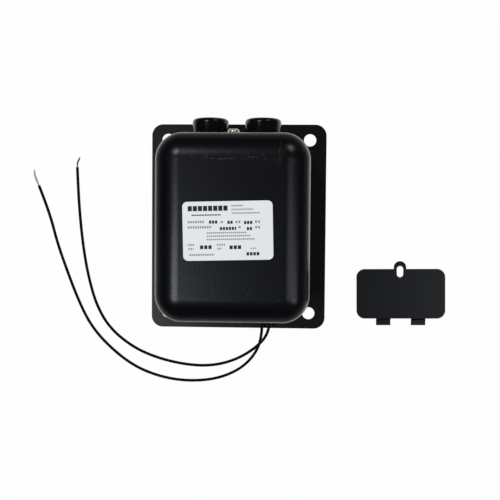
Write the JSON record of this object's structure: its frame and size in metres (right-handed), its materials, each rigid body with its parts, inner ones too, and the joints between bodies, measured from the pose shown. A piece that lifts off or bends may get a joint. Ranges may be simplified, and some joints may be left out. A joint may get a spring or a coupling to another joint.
{
  "type": "ignition transformer",
  "caption": "Step-up ignition transformer in a drawn black steel can on a flat mounting plate, with ceramic high-voltage bushings, free supply leads and a loose cover plate.",
  "frame": {"origin": "centre of the mounting plate's hole pattern, on the plate's underside", "axes": "+Z out of the plate towards the can's front face, +Y towards the end with the high-voltage bushings, and the supply leads leave the end at -Y"},
  "size_m": [0.2972, 0.1868, 0.0831],
  "materials": {
    "black_enamel": "semi-gloss",
    "label_film": "satin",
    "dark_glaze": "gloss",
    "fibre": "matte",
    "brass": "satin",
    "zinc_plate": "satin",
    "core_steel": "matte",
    "winding": "satin",
    "bobbin": "matte",
    "tinned_copper": "satin",
    "asphalt": "gloss",
    "wire_insulation": "satin",
    "grommet_rubber": "matte"
  },
  "bodies": {
    "root": {"base_plate": "black_enamel", "housing_can": "black_enamel", "access_cover": "black_enamel", "wiring_compartment": "black_enamel", "rating_label": "label_film", "hv_bushing_left": "dark_glaze", "hv_bushing_right": "dark_glaze", "bushing_gasket_left": "fibre", "bushing_gasket_right": "fibre", "shunt_spacers": "fibre", "insulation_sheet_left": "fibre", "insulation_sheet_right": "fibre", "hv_terminal_left": "brass", "hv_terminal_right": "brass", "terminal_nuts": "brass", "end_screw": "zinc_plate", "core_rivets": "zinc_plate", "core_bracket": "zinc_plate", "core_limb_left": "core_steel", "core_limb_right": "core_steel", "core_yoke_rear": "core_steel", "core_yoke_front": "core_steel", "magnetic_shunt": "core_steel", "primary_coil_left": "winding", "primary_coil_right": "winding", "secondary_coil_left": "winding", "secondary_coil_right": "winding", "primary_bobbin_left": "bobbin", "primary_bobbin_right": "bobbin", "secondary_bobbin_left": "bobbin", "secondary_bobbin_right": "bobbin", "primary_tail_a": "tinned_copper", "primary_tail_b": "tinned_copper", "primary_link": "tinned_copper", "hv_link_left": "tinned_copper", "hv_link_right": "tinned_copper", "midpoint_link_left": "tinned_copper", "midpoint_link_right": "tinned_copper", "lead_a_strands": "tinned_copper", "lead_b_strands": "tinned_copper", "potting_compound": "asphalt", "lead_a": "wire_insulation", "lead_b": "wire_insulation", "lead_grommet": "grommet_rubber"}
  },
  "joints": []
}
